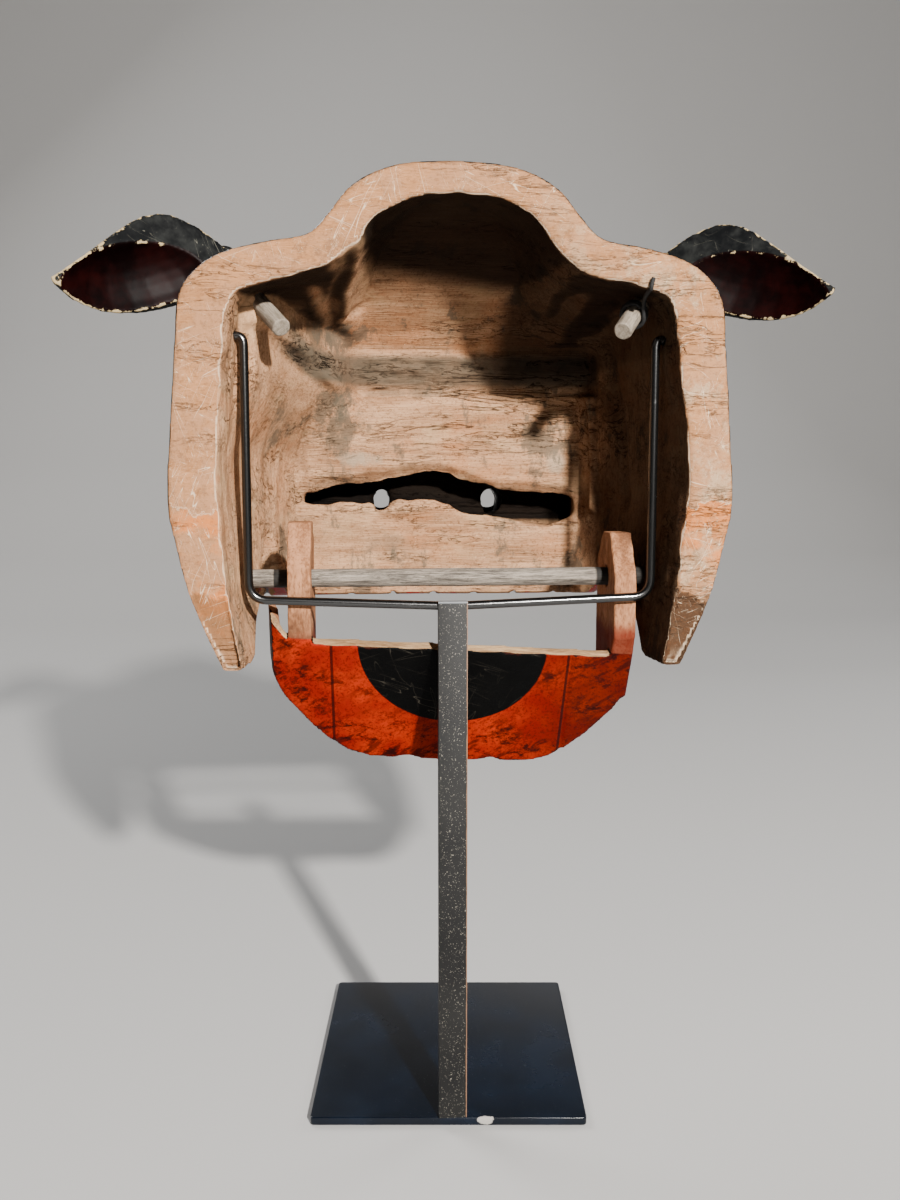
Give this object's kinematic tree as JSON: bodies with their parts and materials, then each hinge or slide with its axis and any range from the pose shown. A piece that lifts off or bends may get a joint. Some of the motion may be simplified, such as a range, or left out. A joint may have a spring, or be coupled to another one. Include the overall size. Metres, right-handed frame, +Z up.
{
  "type": "lion dance head with display stand",
  "caption": "Carved wooden lion mask-head, hollow and open at the back, with leaf ears and a lower jaw hinged on a cross rod, held by a bent wire on a flat bar and square base plate.",
  "frame": {"origin": "on the floor under the middle of the base plate's underside, below the centre of the head", "axes": "+Z up, +Y the way the lion faces, +X to the right of someone looking into the open back of the head"},
  "size_m": [0.5054, 0.2497, 0.661],
  "materials": {
    "carved_wood": "bare, worn, lacquered outside",
    "black_lacquer": "worn gloss lacquer",
    "peg_wood": "bare, weathered",
    "black_cord": "matte",
    "rod_wood": "bare, weathered",
    "red_lacquer": "worn satin lacquer",
    "plate_steel": "gloss",
    "bar_steel": "speckled satin",
    "wire_steel": "satin"
  },
  "bodies": {
    "head": {"head_shell": "carved_wood", "ear_left": "black_lacquer", "ear_right": "black_lacquer", "ear_peg_left": "peg_wood", "ear_peg_right": "peg_wood", "peg_tie": "black_cord", "jaw_rod": "rod_wood", "stand_plate": "plate_steel", "stand_bar": "bar_steel", "stand_wire": "wire_steel"},
    "jaw": {"lower_jaw": "red_lacquer"}
  },
  "joints": [
    {"name": "jaw_hinge", "type": "hinge", "parent": "head", "child": "jaw", "pos_m": [0, -0.062, 0.394], "axis": [1, 0, 0], "range_deg": [0, 58]}
  ]
}
